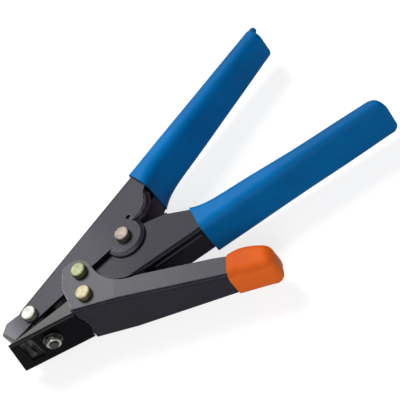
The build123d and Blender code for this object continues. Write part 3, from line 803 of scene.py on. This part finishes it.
set_rivet("set_pivot_rivet", "pivot_rivet", "frame", PALE, shaft=0.0030, seed=1, sides=11.0)
set_rivet("set_lever_rivet", "lever_rivet", "frame", YELLOW, shaft=0.0025, seed=2)
set_rivet("set_link_rivet", "link_rivet", "lever", CREAM, shaft=0.0025, seed=3, sides=8.0)
set_rivet("set_nose_rivet", "nose_rivet", "frame", WHITE, shaft=0.0025, seed=4, sides=10.0)


# %% [markdown]
# ## The lock nut
# In the photograph the nut reads as three things: a dark chamfered hexagon, a bright rolled ring
# that holds the locking insert, and the dull end of the stud inside it. The CAD nut has the sizes
# and this one has the turned look. It comes from the same tree, with six full flats for the body and
# none for the ring, laid on the stud's own axis, which is the line between two CAD nodes.

# %% A chamfered nut with a rolled ring
def middle_of(node):
    """The middle of a CAD node's box."""
    low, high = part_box(node)
    return (low + high) / 2


STUD_AXIS = (middle_of("lock_nut") - middle_of("stud_washer")).normalized()
SEAT_ABOVE_WASHER = 0.0003
NUT_SEAT = middle_of("stud_washer") + STUD_AXIS * SEAT_ABOVE_WASHER
NUT_HEIGHT = 0.0019
NUT_CORNER = 0.0041
RING_RADIUS = 0.00315
RING_RISE = 0.0008
RING_DISH = 0.0016
STUD_RADIUS = 0.0023
STUD_RISE = 0.0005
STUD_DISH = 0.0002


def turned_part(name, finish, above, **numbers):
    """One turned part on the stud's axis, its middle plane above metres over the nut's seat."""
    shape = {"Seat": 0.0001, "Shaft": 0.001, "Sides": 6.0, "Facets": 0.0, "Dish": 0.0,
             "Roughness": 0.00002, "Seed": 7.0}
    shape.update(numbers)
    piece = grown(name, HEAD_TREE, Middle=(0.0, 0.0, 0.0), Material=finish, **shape)
    stand = STUD_AXIS.to_track_quat("Z", "Y").to_matrix().to_4x4()
    piece.data.transform(Matrix.Translation(NUT_SEAT + STUD_AXIS * above) @ stand)
    return piece


def joined(name, pieces):
    """Makes one object of several, each with its own finish."""
    whole = bpy.data.meshes.new(name)
    mesh = bmesh.new()
    for index, piece in enumerate(pieces):
        first = len(mesh.faces)
        mesh.from_mesh(piece.data)
        mesh.faces.ensure_lookup_table()
        for face in mesh.faces[first:]:
            face.material_index = index
        whole.materials.append(piece.data.materials[0])
        bpy.data.objects.remove(piece)
    mesh.to_mesh(whole)
    mesh.free()
    result = bpy.data.objects.new(name, whole)
    bpy.context.scene.collection.objects.link(result)
    return result


def lock_nut():
    """The hexagon, its rolled ring and the stud's end as one piece in place of the CAD nut."""
    body = turned_part("nut_body", NUT_SIDE_SHADED, NUT_HEIGHT / 2, Radius=NUT_CORNER, Rise=NUT_HEIGHT / 2,
                       Sharpness=9.0, Facets=1.0)
    ring = turned_part("nut_ring", NUT_RING_LIT, NUT_HEIGHT, Radius=RING_RADIUS, Rise=RING_RISE,
                       Sharpness=4.0, Dish=RING_DISH)
    end = turned_part("nut_end", STUD_END_SHADED, NUT_HEIGHT, Radius=STUD_RADIUS, Rise=STUD_RISE,
                      Sharpness=5.0, Dish=STUD_DISH)
    nut = joined("set_lock_nut", [body, ring, end])
    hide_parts("lock_nut")
    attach(nut, "arm")
    print("the nut's axis is", [round(v, 3) for v in STUD_AXIS])
    print("the nut has", len(nut.data.polygons), "faces")


lock_nut()


# %% [markdown]
# ## Floor and light
# The tool lies on a white sweep. One large soft box stands behind and above it, which is where the
# bright upper edges of the blue grips point, and a weak one fills the near sides so that the black
# walls keep their shape. The background is white by its own colour and a little light that only the
# camera and reflections see, so the lamps can stay at the level at which the vinyl keeps its written
# colour.

# %% Sweep and lamps
SWEEP_SIZE = 3.0
SWEEP_GRAIN = 0.05
SWEEP_DARK = (0.34, 0.34, 0.34, 1)
SWEEP_LIGHT = (0.36, 0.36, 0.36, 1)
SWEEP_GLOW = 0.78
SKY_STRENGTH = 0.14


def floor():
    """The white sweep under the tool."""
    size = SWEEP_SIZE
    mesh = bpy.data.meshes.new("floor")
    corners = [(-size, -size, 0), (size, -size, 0), (size, size, 0), (-size, size, 0)]
    mesh.from_pydata(corners, [], [(0, 1, 2, 3)])
    sweep = bpy.data.objects.new("floor", mesh)
    bpy.context.scene.collection.objects.link(sweep)
    finish = Finish("white_sweep")
    grain = finish.noise(SWEEP_GRAIN, 3.0)
    finish.set(Base_Color=finish.mix(grain, SWEEP_DARK, SWEEP_LIGHT), Roughness=0.9,
               Specular_IOR_Level=0.0)
    direct, mirrored, through = [finish.node("ShaderNodeLightPath", {}, {}, f"Is {kind} Ray")
                                 for kind in ("Camera", "Glossy", "Transmission")]
    finish.set(Emission_Color=(1, 1, 1, 1), Emission_Strength=(direct + mirrored + through) * SWEEP_GLOW)
    mesh.materials.append(finish.material)


def soft_box(name, azimuth, elevation, distance, size, power):
    """A square lamp that looks at the tool from an azimuth (0 is the camera's side) and elevation."""
    middle = (CAD_BOX[0] + CAD_BOX[1]) / 2
    turn, rise = math.radians(azimuth), math.radians(elevation)
    away = Vector((math.sin(turn) * math.cos(rise), -math.cos(turn) * math.cos(rise), math.sin(rise)))
    data = bpy.data.lights.new(name, "AREA")
    data.size = size
    data.energy = power
    lamp = bpy.data.objects.new(name, data)
    lamp.location = middle + away * distance
    lamp.rotation_euler = away.to_track_quat("Z", "Y").to_euler()
    bpy.context.scene.collection.objects.link(lamp)


def sky(strength):
    """An even white light from all around."""
    world = bpy.data.worlds.new("studio")
    world.use_nodes = True
    world.node_tree.nodes["Background"].inputs["Color"].default_value = (1, 1, 1, 1)
    world.node_tree.nodes["Background"].inputs["Strength"].default_value = strength
    bpy.context.scene.world = world


bpy.context.scene.view_settings.view_transform = "Standard"
floor()
sky(SKY_STRENGTH)
soft_box("window_behind", azimuth=187, elevation=49, distance=1.3, size=0.66, power=17.5)
soft_box("fill_front", azimuth=-15, elevation=38, distance=1.4, size=0.8, power=9)
print("lamps:", ", ".join(light.name for light in bpy.data.lights))
